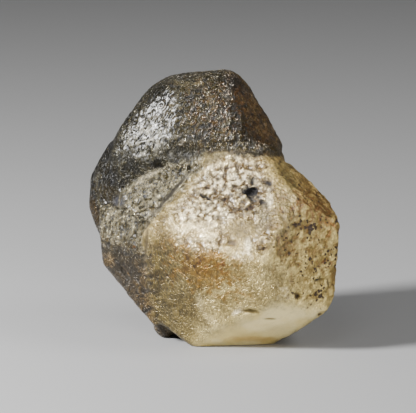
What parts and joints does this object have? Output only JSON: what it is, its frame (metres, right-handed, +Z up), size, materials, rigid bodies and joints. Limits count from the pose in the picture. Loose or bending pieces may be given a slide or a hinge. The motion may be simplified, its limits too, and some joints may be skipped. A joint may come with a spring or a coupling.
{
  "type": "phenakite crystal",
  "caption": "Phenakite crystal specimen, an intergrown group with a pale frosted faceted front and a dark rounded cap, standing on a small flat spot.",
  "frame": {"origin": "on the flat spot that the crystal group rests on, below the middle of the group", "axes": "+X to the viewer's right when the pale front crystal faces the viewer, +Y away from the viewer towards the group's back, +Z up from the flat spot to the top of the dark cap"},
  "size_m": [0.0372, 0.0294, 0.04],
  "materials": {
    "frosted_phenakite": "satin"
  },
  "bodies": {
    "root": {"phenakite_crystal": "frosted_phenakite"}
  },
  "joints": []
}
